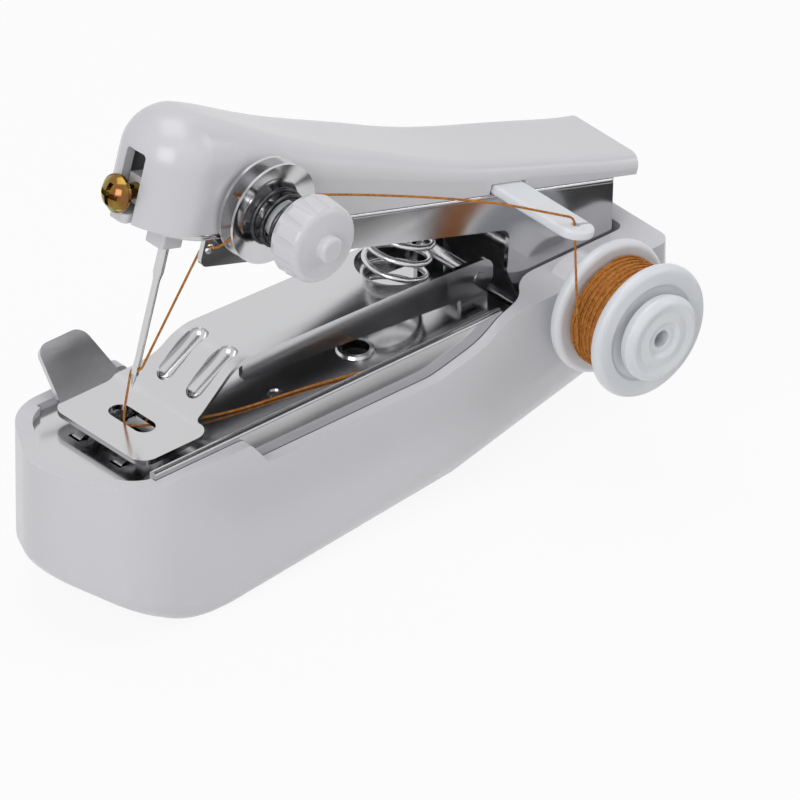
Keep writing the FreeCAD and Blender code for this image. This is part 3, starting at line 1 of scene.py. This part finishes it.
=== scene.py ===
"""Looks of the hand-held sewing machine: finishes, springs, wound and sewing thread, studio and camera."""
import bpy
import bmesh
import json
import math
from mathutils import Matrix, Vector


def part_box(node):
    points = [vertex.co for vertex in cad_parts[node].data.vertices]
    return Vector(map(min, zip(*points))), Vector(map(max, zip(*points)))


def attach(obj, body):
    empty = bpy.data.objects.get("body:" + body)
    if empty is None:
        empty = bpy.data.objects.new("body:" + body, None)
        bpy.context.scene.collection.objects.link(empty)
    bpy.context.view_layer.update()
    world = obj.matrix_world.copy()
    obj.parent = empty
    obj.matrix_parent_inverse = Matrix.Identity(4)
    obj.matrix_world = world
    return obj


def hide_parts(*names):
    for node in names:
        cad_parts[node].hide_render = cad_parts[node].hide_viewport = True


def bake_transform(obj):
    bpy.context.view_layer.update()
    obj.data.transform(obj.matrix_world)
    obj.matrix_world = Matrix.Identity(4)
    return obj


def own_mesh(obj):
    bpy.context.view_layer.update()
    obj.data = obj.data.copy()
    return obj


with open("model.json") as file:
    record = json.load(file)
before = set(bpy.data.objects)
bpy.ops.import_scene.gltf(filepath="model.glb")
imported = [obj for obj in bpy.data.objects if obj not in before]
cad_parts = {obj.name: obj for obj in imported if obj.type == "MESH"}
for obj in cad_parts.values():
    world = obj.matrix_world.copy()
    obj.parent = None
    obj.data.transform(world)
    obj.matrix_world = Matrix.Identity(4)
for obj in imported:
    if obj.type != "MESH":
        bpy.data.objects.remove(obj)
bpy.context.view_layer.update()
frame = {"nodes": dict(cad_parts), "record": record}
MM = 0.001


def add_object(name, data):
    """A new object of the scene that shows the data."""
    item = bpy.data.objects.new(name, data)
    bpy.context.scene.collection.objects.link(item)
    return item


# Camera

AZIMUTH = math.radians(-41.0)
ELEVATION = math.radians(33.0)
PIXELS_PER_MM = 6.94
FRAME_PIXELS = 800
ORIGIN_PIXEL = (324.6, 491.2)
LENS_MM = 1200.0
SENSOR_MM = 36.0
CLIP_START = 10 * MM


def place_camera():
    """A long lens at the photograph's angle, with the sole's middle at its place in the frame."""
    right = Vector((math.cos(AZIMUTH), math.sin(AZIMUTH), 0))
    back = Vector((
        math.sin(AZIMUTH) * math.cos(ELEVATION),
        -math.cos(AZIMUTH) * math.cos(ELEVATION),
        math.sin(ELEVATION),
    ))
    up = back.cross(right)
    middle = FRAME_PIXELS / 2
    across = (middle - ORIGIN_PIXEL[0]) / PIXELS_PER_MM * MM
    above = (ORIGIN_PIXEL[1] - middle) / PIXELS_PER_MM * MM
    focal_pixels = LENS_MM / SENSOR_MM * FRAME_PIXELS
    distance = focal_pixels / PIXELS_PER_MM * MM
    data = bpy.data.cameras.new("camera")
    data.lens = LENS_MM
    data.sensor_width = SENSOR_MM
    data.clip_start = CLIP_START
    camera = add_object("camera", data)
    camera.location = right * across + up * above + back * distance
    camera.rotation_euler = back.to_track_quat("Z", "Y").to_euler()
    bpy.context.scene.camera = camera


place_camera()

# Materials

# Nearly all values of a noise lie between these two.
NOISE_LOW = 0.3
NOISE_MIDDLE = 0.5
NOISE_HIGH = 0.7


class Finish:
    """A material with its shader, and short ways to add procedural detail."""

    def __init__(self, name, color, **values):
        self.material = bpy.data.materials.new(name)
        self.material.use_nodes = True
        self.nodes = self.material.node_tree.nodes
        self.links = self.material.node_tree.links
        self.shader = self.nodes["Principled BSDF"]
        self.shader.inputs["Base Color"].default_value = (*color, 1)
        for socket, value in values.items():
            self.shader.inputs[socket.replace("_", " ")].default_value = value

    def noise(self, scale, stretch=(1, 1, 1), detail=3.0):
        """Noise whose scale counts in features to the metre, drawn out by the stretch."""
        place = self.nodes.new("ShaderNodeTexCoord").outputs["Object"]
        mapping = self.nodes.new("ShaderNodeMapping")
        mapping.inputs["Scale"].default_value = stretch
        self.links.new(place, mapping.inputs["Vector"])
        texture = self.nodes.new("ShaderNodeTexNoise")
        texture.inputs["Scale"].default_value = scale
        texture.inputs["Detail"].default_value = detail
        self.links.new(mapping.outputs["Vector"], texture.inputs["Vector"])
        return texture.outputs["Fac"]

    def tint(self, factor, colors):
        """The base colour follows a factor, through (position, colour) stops."""
        ramp = self.nodes.new("ShaderNodeValToRGB")
        stops = ramp.color_ramp.elements
        while len(stops) < len(colors):
            stops.new(NOISE_MIDDLE)
        for stop, (position, color) in zip(stops, colors):
            stop.position = position
            stop.color = (*color, 1)
        self.links.new(factor, ramp.inputs["Fac"])
        self.links.new(ramp.outputs["Color"], self.shader.inputs["Base Color"])
        return self

    def gloss(self, factor, low, high):
        """The roughness follows a factor."""
        span = self.nodes.new("ShaderNodeMapRange")
        span.inputs["From Min"].default_value = NOISE_LOW
        span.inputs["From Max"].default_value = NOISE_HIGH
        span.inputs["To Min"].default_value = low
        span.inputs["To Max"].default_value = high
        self.links.new(factor, span.inputs["Value"])
        self.links.new(span.outputs["Result"], self.shader.inputs["Roughness"])
        return self

    def relief(self, factor, height, strength=1.0):
        """A bump of that height in metres."""
        bump = self.nodes.new("ShaderNodeBump")
        bump.inputs["Distance"].default_value = height
        bump.inputs["Strength"].default_value = strength
        self.links.new(factor, bump.inputs["Height"])
        self.links.new(bump.outputs["Normal"], self.shader.inputs["Normal"])
        return self


def white_gloss():
    """Glossy white moulded plastic with a faint cool tone and a slight orange-peel."""
    finish = Finish("white_gloss", (0.66, 0.66, 0.69), Roughness=0.25, IOR=1.53)
    finish.tint(
        finish.noise(scale=35),
        [(NOISE_LOW, (0.655, 0.655, 0.685)), (NOISE_HIGH, (0.665, 0.665, 0.695))],
    )
    finish.gloss(finish.noise(scale=90, detail=1.0), low=0.23, high=0.27)
    return finish.relief(finish.noise(scale=900), height=0.003 * MM)


def white_nylon():
    """Milky nylon, a little translucent."""
    finish = Finish(
        "white_nylon",
        (0.75, 0.77, 0.80),
        Roughness=0.35,
        IOR=1.53,
        Subsurface_Weight=0.35,
        Subsurface_Radius=(1.0, 1.0, 1.1),
        Subsurface_Scale=1.2 * MM,
    )
    finish.tint(
        finish.noise(scale=120),
        [(NOISE_LOW, (0.74, 0.76, 0.79)), (NOISE_HIGH, (0.76, 0.78, 0.81))],
    )
    finish.gloss(finish.noise(scale=250), low=0.28, high=0.42)
    return finish.relief(finish.noise(scale=1200), height=0.01 * MM)


def chrome_plate():
    """Plated sheet with a satin mirror, and the faint waves and rolling streaks of thin sheet."""
    finish = Finish("chrome_plate", (0.58, 0.58, 0.59), Metallic=1.0, Roughness=0.16)
    finish.gloss(finish.noise(scale=300, stretch=(0.12, 1, 1), detail=1.0), low=0.12, high=0.18)
    return finish.relief(finish.noise(scale=55, detail=1.0), height=0.12 * MM, strength=0.5)


def bright_steel():
    """Drawn steel wire and turned pins."""
    finish = Finish("bright_steel", (0.62, 0.62, 0.63), Metallic=1.0, Roughness=0.2)
    finish.gloss(finish.noise(scale=900), low=0.12, high=0.28)
    return finish.relief(finish.noise(scale=2500), height=0.01 * MM)


def dark_spring():
    """Blackened spring wire."""
    finish = Finish("dark_spring", (0.05, 0.05, 0.055), Metallic=1.0, Roughness=0.3)
    finish.tint(
        finish.noise(scale=800),
        [(NOISE_LOW, (0.03, 0.03, 0.035)), (NOISE_HIGH, (0.10, 0.10, 0.105))],
    )
    return finish.gloss(finish.noise(scale=1500), low=0.22, high=0.4)


def yellow_zinc():
    """Yellow passivated zinc with its patchy green and copper tints."""
    finish = Finish("yellow_zinc", (0.27, 0.18, 0.04), Metallic=1.0, Roughness=0.15)
    finish.tint(
        finish.noise(scale=420, detail=1.5),
        [
            (NOISE_LOW, (0.19, 0.21, 0.045)),
            (0.45, (0.27, 0.18, 0.04)),
            (0.58, (0.23, 0.12, 0.03)),
            (0.72, (0.22, 0.08, 0.05)),
        ],
    )
    return finish.gloss(finish.noise(scale=900), low=0.08, high=0.2)


def orange_thread():
    """Brown-orange twisted sewing thread."""
    finish = Finish(
        "orange_thread",
        (0.43, 0.165, 0.035),
        Roughness=0.75,
        Specular_IOR_Level=0.12,
        Sheen_Weight=0.05,
        Sheen_Roughness=0.4,
        Sheen_Tint=(0.9, 0.62, 0.35, 1),
    )
    finish.tint(
        finish.noise(scale=1800),
        [
            (NOISE_LOW, (0.32, 0.11, 0.022)),
            (NOISE_MIDDLE, (0.45, 0.175, 0.038)),
            (NOISE_HIGH, (0.57, 0.25, 0.065)),
        ],
    )
    return finish.relief(finish.noise(scale=5200, detail=2.0), height=0.06 * MM)


FINISHES = {
    "white_gloss": white_gloss(),
    "white_nylon": white_nylon(),
    "chrome_plate": chrome_plate(),
    "steel": bright_steel(),
    "dark_spring_steel": dark_spring(),
    "yellow_zinc": yellow_zinc(),
    "orange_thread": orange_thread(),
}


def dress(mesh, slot):
    """The mesh takes the finish of a material slot."""
    mesh.materials.clear()
    mesh.materials.append(FINISHES[slot].material)


def dress_nodes():
    """Each CAD node takes the finish of its own slot."""
    for entry in frame["record"]["subparts"]:
        dress(frame["nodes"][entry["node"]].data, entry["material_slot"])


dress_nodes()

# Springs and wound thread

STEPS_A_TURN = 32
STEPS_A_POINT = 12
BEVEL_STEPS = 3
ACROSS_BODY = Vector((0, 1, 0))


def mesh_of(item):
    """The mesh of an object as it is drawn now."""
    depsgraph = bpy.context.evaluated_depsgraph_get()
    return bpy.data.meshes.new_from_object(item.evaluated_get(depsgraph))


def piece_from(name, mesh, slot):
    """A smooth piece of the part, with the finish of its slot."""
    mesh.name = name
    mesh.polygons.foreach_set("use_smooth", [True] * len(mesh.polygons))
    dress(mesh, slot)
    piece = add_object(name, mesh)
    return piece


def tube_from(name, points, radius, slot, order=0):
    """A round tube along points: a smooth spline of that order, or straight steps where the order is 0."""
    curve = bpy.data.curves.new(name, "CURVE")
    curve.dimensions = "3D"
    spline = curve.splines.new("NURBS" if order else "POLY")
    spline.points.add(len(points) - 1)
    for point, place in zip(spline.points, points):
        point.co = (*place, 1)
    if order:
        spline.order_u = order
        spline.use_endpoint_u = True
        spline.resolution_u = STEPS_A_POINT
    line = add_object(name + "_line", curve)
    bpy.context.view_layer.update()
    trail = [vertex.co.copy() for vertex in mesh_of(line).vertices]
    curve.bevel_depth = radius
    curve.bevel_resolution = BEVEL_STEPS
    curve.use_fill_caps = True
    mesh = mesh_of(line)
    bpy.data.objects.remove(line)
    return piece_from(name, mesh, slot), trail


def helix(start, along, across, radii, length, turns, hand=-1):
    """Points of a coil from a start, along an axis, its angle counted from a direction across it."""
    along = Vector(along).normalized()
    across = Vector(across).normalized()
    third = along.cross(across)
    steps = int(turns * STEPS_A_TURN)
    points = []
    for step in range(steps + 1):
        share = step / steps
        angle = hand * 2 * math.pi * turns * share
        radius = radii[0] + (radii[1] - radii[0]) * share
        outward = across * math.cos(angle) + third * math.sin(angle)
        points.append(Vector(start) + along * (length * share) + outward * radius)
    return points


RETURN_WIRE = 0.9 * MM
RETURN_RADIUS = 4.7 * MM
RETURN_LENGTH = 18.03 * MM
RETURN_TURNS = 7
RETURN_LEAN = math.radians(14)
RETURN_FOOT = Vector((12.0, 0, 27.09)) * MM


def return_spring():
    """The coil that lifts the arm."""
    axis = Vector((math.sin(RETURN_LEAN), 0, math.cos(RETURN_LEAN)))
    across = Vector((math.cos(RETURN_LEAN), 0, -math.sin(RETURN_LEAN)))
    radii = (RETURN_RADIUS, RETURN_RADIUS)
    points = helix(RETURN_FOOT, axis, across, radii, RETURN_LENGTH, RETURN_TURNS)
    spring, _ = tube_from("return_spring_wire", points, RETURN_WIRE / 2, "steel")
    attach(spring, "base")
    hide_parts("return_spring")
    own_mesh(spring)


return_spring()

TENSION_AXIS = Vector((-19.49, 0, 61.17)) * MM
ARM_SLOPE = math.radians(16.3)
ARM_FORWARD = Vector((math.cos(ARM_SLOPE), 0, -math.sin(ARM_SLOPE)))
TENSION_WIRE = 0.8 * MM
TENSION_RADII = (4.4 * MM, 3.6 * MM)
TENSION_FOOT = 11.15 * MM
TENSION_LENGTH = 5.3 * MM
TENSION_TURNS = 3


def tension_spring():
    """The coil between the discs and the knob's cup."""
    foot = TENSION_AXIS + Vector((0, -TENSION_FOOT, 0))
    points = helix(foot, -ACROSS_BODY, ARM_FORWARD, TENSION_RADII, TENSION_LENGTH, TENSION_TURNS)
    spring, _ = tube_from("tension_spring_wire", points, TENSION_WIRE / 2, "dark_spring_steel")
    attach(spring, "arm")
    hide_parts("tension_spring")
    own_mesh(spring)


tension_spring()

CORE_BORE = 4.45 * MM
CORE_RADIUS = 8.0 * MM
CORE_EDGE = 0.5 * MM
CORE_SIDES = 96
WOUND_RADIUS = 0.15 * MM
WOUND_TURNS = 21
WOUND_MARGIN = 0.25 * MM
CROSSING_TURNS = 7
CROSSING_LIFT = 1.6 * WOUND_RADIUS


def wound_core(centre, low, high):
    """The plain inside of the winding, turned about the bobbin's axis."""
    profile = [
        (CORE_BORE, low),
        (CORE_RADIUS - CORE_EDGE, low),
        (CORE_RADIUS, low + CORE_EDGE),
        (CORE_RADIUS, high - CORE_EDGE),
        (CORE_RADIUS - CORE_EDGE, high),
        (CORE_BORE, high),
    ]
    shell = bmesh.new()
    rings = []
    for index in range(CORE_SIDES):
        angle = 2 * math.pi * index / CORE_SIDES
        ring = [
            shell.verts.new((centre.x + radius * math.cos(angle), y, centre.z + radius * math.sin(angle)))
            for radius, y in profile
        ]
        rings.append(ring)
    for index, ring in enumerate(rings):
        beside = rings[(index + 1) % CORE_SIDES]
        for step in range(len(profile)):
            following = (step + 1) % len(profile)
            shell.faces.new((ring[step], beside[step], beside[following], ring[following]))
    bmesh.ops.recalc_face_normals(shell, faces=shell.faces)
    mesh = bpy.data.meshes.new("wound_core")
    shell.to_mesh(mesh)
    shell.free()
    return piece_from("wound_core", mesh, "orange_thread")


def wound_thread():
    """The thread on the bobbin: a core, a layer of close turns and a few turns that cross it."""
    low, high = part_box("thread_winding")
    centre = (Vector(low) + Vector(high)) / 2
    core = wound_core(centre, low[1], high[1])
    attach(core, "bobbin")
    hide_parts("thread_winding")
    start = Vector((centre.x, low[1] + WOUND_MARGIN, centre.z))
    length = high[1] - low[1] - 2 * WOUND_MARGIN
    radius = CORE_RADIUS + WOUND_RADIUS
    close = helix(start, ACROSS_BODY, (1, 0, 0), (radius, radius), length, WOUND_TURNS, hand=1)
    turns, _ = tube_from("wound_turns", close, WOUND_RADIUS, "orange_thread")
    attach(turns, "bobbin")
    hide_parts("thread_turns")
    over = radius + CROSSING_LIFT
    crossing = helix(start, ACROSS_BODY, (0, 0, 1), (over, over), length, CROSSING_TURNS, hand=-1)
    cross, _ = tube_from("wound_crossing", crossing, WOUND_RADIUS, "orange_thread")
    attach(cross, "bobbin")


wound_thread()

# Sewing thread

THREAD = 0.36 * MM
THREAD_ORDER = 3
UPPER_ROUTE = (
    (29.70, -21.45, 22.20),
    (27.91, -22.59, 43.90),
    (27.73, -22.70, 46.10),
    (25.83, -22.09, 47.02),
    (13.50, -18.10, 53.00),
    (-10.80, -10.00, 60.40),
    (-24.50, -9.90, 65.20),
)
LOWER_ROUTE = (
    (-22.60, -9.90, 60.20),
    (-27.30, -9.50, 57.50),
    (-28.20, -6.10, 56.80),
    (-28.91, -5.60, 54.78),
    (-34.87, -1.41, 37.93),
    (-35.52, -0.95, 36.10),
    (-35.55, 0.95, 35.85),
    (-36.00, 0.95, 33.70),
    (-37.30, 0.95, 27.40),
    (-36.60, 0.60, 26.30),
    (-29.00, -3.20, 26.00),
    (-21.00, -5.60, 25.65),
    (-12.50, -6.90, 25.65),
    (-4.50, -8.60, 25.65),
    (3.50, -10.90, 25.65),
)


def sewing_thread(name, node, route):
    """One stretch of thread: a smooth tube along its route, in place of its CAD node."""
    points = [Vector(point) * MM for point in route]
    thread, trail = tube_from(name, points, THREAD / 2, "orange_thread", order=THREAD_ORDER)
    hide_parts(node)
    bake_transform(thread)


sewing_thread("upper_thread", "thread_upper", UPPER_ROUTE)
sewing_thread("lower_thread", "thread_lower", LOWER_ROUTE)

# Studio

WHITE = (1.0, 1.0, 1.0, 1)
UP = (0.0, 0.0, 1.0)
MATT = 0.9
SEEN_LIGHT = 1.0
AMBIENT = 0.28
FLOOR_SIZE = 6.0
FLOOR_COLOR = (0.85, 0.85, 0.85)
FLOOR_GLOW = 0.90
CARD_COLOR = (0.02, 0.02, 0.02)
CARD_Z = 0.6 * MM

# Each lamp has a name, a place, the side of its square and its power in watts.
LIGHTS = (
    ("key", (-0.75, -0.40, 0.55), 0.55, 3.9),
    ("top", (0.10, 0.10, 0.90), 0.70, 3.0),
    ("side", (0.60, -0.45, 0.45), 0.35, 1.3),
)

# Each card has a name, a place, the way that it faces and its two sides. The first three lie on the floor.
CARDS = (
    ("disc_card", (0.036, -0.093, CARD_Z), UP, (0.076, 0.062)),
    ("skirt_card", (0.026, -0.036, CARD_Z), UP, (0.084, 0.012)),
    ("wall_card", (0.094, -0.045, CARD_Z), UP, (0.070, 0.060)),
    ("high_card", (0.275, -0.174, 0.380), (-0.55, 0.35, -0.76), (0.460, 0.460)),
)


def seen_directly(nodes, links):
    """1 on rays that show the background: from the camera, a mirror or through glass."""
    path = nodes.new("ShaderNodeLightPath")
    total = path.outputs["Is Camera Ray"]
    for name in ("Is Glossy Ray", "Is Transmission Ray"):
        add = nodes.new("ShaderNodeMath")
        add.operation = "MAXIMUM"
        links.new(total, add.inputs[0])
        links.new(path.outputs[name], add.inputs[1])
        total = add.outputs[0]
    return total


def mix_of(nodes, links, factor, first, second):
    """A shader that goes from the first to the second with the factor."""
    mix = nodes.new("ShaderNodeMixShader")
    links.new(factor, mix.inputs["Fac"])
    links.new(first, mix.inputs[1])
    links.new(second, mix.inputs[2])
    return mix.outputs["Shader"]


def white_world():
    """White where it is seen, and a softer light where it lights the object."""
    world = bpy.data.worlds.new("studio")
    world.use_nodes = True
    bpy.context.scene.world = world
    nodes, links = world.node_tree.nodes, world.node_tree.links
    seen = nodes["Background"]
    soft = nodes.new("ShaderNodeBackground")
    for background, strength in ((seen, SEEN_LIGHT), (soft, AMBIENT)):
        background.inputs["Color"].default_value = WHITE
        background.inputs["Strength"].default_value = strength
    direct = seen_directly(nodes, links)
    mix = mix_of(nodes, links, direct, soft.outputs["Background"], seen.outputs["Background"])
    links.new(mix, nodes["World Output"].inputs["Surface"])


def plane(name, size, material):
    """A square of the studio, which isn't part of the object."""
    bpy.ops.mesh.primitive_plane_add(size=size)
    square = bpy.context.object
    square.name = name
    square.data.materials.append(material)
    return square


def pale_floor():
    """A pale floor that keeps a light shadow."""
    finish = Finish("floor", FLOOR_COLOR, Roughness=MATT)
    nodes, links = finish.nodes, finish.links
    glow = nodes.new("ShaderNodeEmission")
    glow.inputs["Color"].default_value = WHITE
    share = nodes.new("ShaderNodeMath")
    share.operation = "MULTIPLY"
    share.inputs[1].default_value = FLOOR_GLOW
    links.new(seen_directly(nodes, links), share.inputs[0])
    mix = mix_of(nodes, links, share.outputs[0], finish.shader.outputs["BSDF"], glow.outputs["Emission"])
    links.new(mix, nodes["Material Output"].inputs["Surface"])
    plane("floor", FLOOR_SIZE, finish.material)


def softboxes():
    """Square area lamps, each turned to the object."""
    for name, place, size, power in LIGHTS:
        data = bpy.data.lights.new(name, "AREA")
        data.size = size
        data.energy = power
        lamp = add_object(name, data)
        lamp.location = place
        lamp.rotation_euler = Vector(place).to_track_quat("Z", "Y").to_euler()


def dark_cards():
    """Black cards that show only in mirrors, as a photographer sets them beside bright metal."""
    finish = Finish("card", CARD_COLOR, Roughness=MATT)
    for name, place, facing, sides in CARDS:
        card = plane(name, 1.0, finish.material)
        card.location = place
        card.rotation_euler = Vector(facing).to_track_quat("Z", "Y").to_euler()
        card.scale = (*sides, 1)
        card.visible_camera = False
        card.visible_diffuse = False
        card.visible_shadow = False


white_world()
pale_floor()
softboxes()
dark_cards()
bpy.context.scene.view_settings.view_transform = "Standard"
